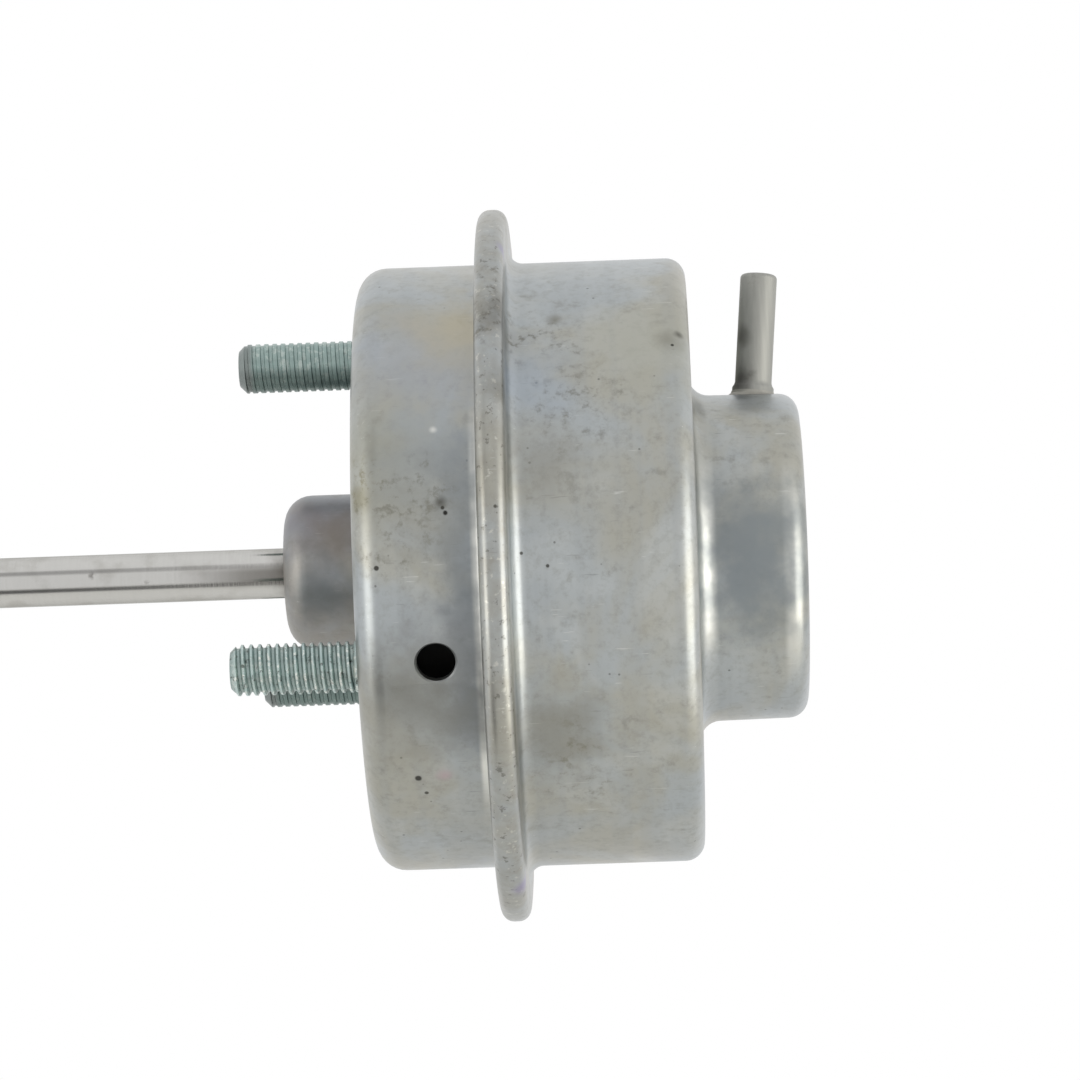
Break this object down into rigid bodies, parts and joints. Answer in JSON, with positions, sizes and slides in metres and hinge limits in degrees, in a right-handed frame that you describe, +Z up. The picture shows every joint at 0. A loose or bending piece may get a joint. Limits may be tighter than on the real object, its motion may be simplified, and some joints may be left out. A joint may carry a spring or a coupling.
{
  "type": "turbo actuator",
  "caption": "Round crimped vacuum canister with a sprung push rod through a swivelling guide, mounting studs, side hose nipple and a screwed rod end with lock nut.",
  "frame": {"origin": "centre of the stud circle on the mounting face, the outer front face of the canister", "axes": "+X along the push rod from its eye towards the cap, +Z up with the upper stud near it, -Y the side with the vent hole"},
  "size_m": [0.1507, 0.085, 0.085],
  "materials": {
    "zinc_sheet": "dull zinc-plated drawn sheet, mottled",
    "zinc_stud": "clear blue zinc plating on rolled thread",
    "bright_rod": "ground and polished steel",
    "nipple_tube": "drawn steel tube",
    "braze": "dull braze fillet",
    "bush_bronze": "sintered bronze",
    "black_rubber": "matt moulded rubber",
    "inner_steel": "pressed steel, lightly oiled",
    "spring_steel": "shot-peened spring wire",
    "nut_zinc": "zinc-plated machined steel",
    "hardened_steel": "ground hardened steel"
  },
  "bodies": {
    "canister": {"front_cup": "zinc_sheet", "rear_cup": "zinc_sheet", "guide_housing": "zinc_sheet", "bush_retainer": "inner_steel", "stop_ring": "black_rubber", "stud_upper": "zinc_stud", "stud_front": "zinc_stud", "stud_rear": "zinc_stud", "diaphragm": "black_rubber", "return_spring": "spring_steel", "spring_seat": "inner_steel", "hose_nipple": "nipple_tube", "nipple_braze": "braze"},
    "swivel_bush": {"guide_bush": "bush_bronze", "wiper_ring": "black_rubber"},
    "push_rod": {"rod": "bright_rod", "front_plate": "inner_steel", "piston": "inner_steel", "piston_washer": "inner_steel"},
    "nut": {"lock_nut": "nut_zinc"},
    "eye": {"rod_end": "nut_zinc", "rod_end_bush": "hardened_steel"}
  },
  "joints": [
    {"name": "bush_swivel", "type": "hinge", "parent": "canister", "child": "swivel_bush", "pos_m": [-0.0044, 0, 0], "axis": [0, 1, 0], "range_deg": [-1.5, 1.5], "stiffness_Nm_per_rad": 3},
    {"name": "rod_slide", "type": "slide", "parent": "swivel_bush", "child": "push_rod", "axis": [1, 0, 0], "range_m": [0, 0.012], "stiffness_N_per_m": 2500, "springref_m": -0.02, "deforming": ["return_spring", "diaphragm"]},
    {"name": "lock_nut_turn", "type": "hinge", "parent": "push_rod", "child": "nut", "pos_m": [-0.0675, 0, 0], "axis": [1, 0, 0], "continuous": true},
    {"name": "rod_end_turn", "type": "hinge", "parent": "push_rod", "child": "eye", "pos_m": [-0.077, 0, 0], "axis": [1, 0, 0], "continuous": true}
  ]
}
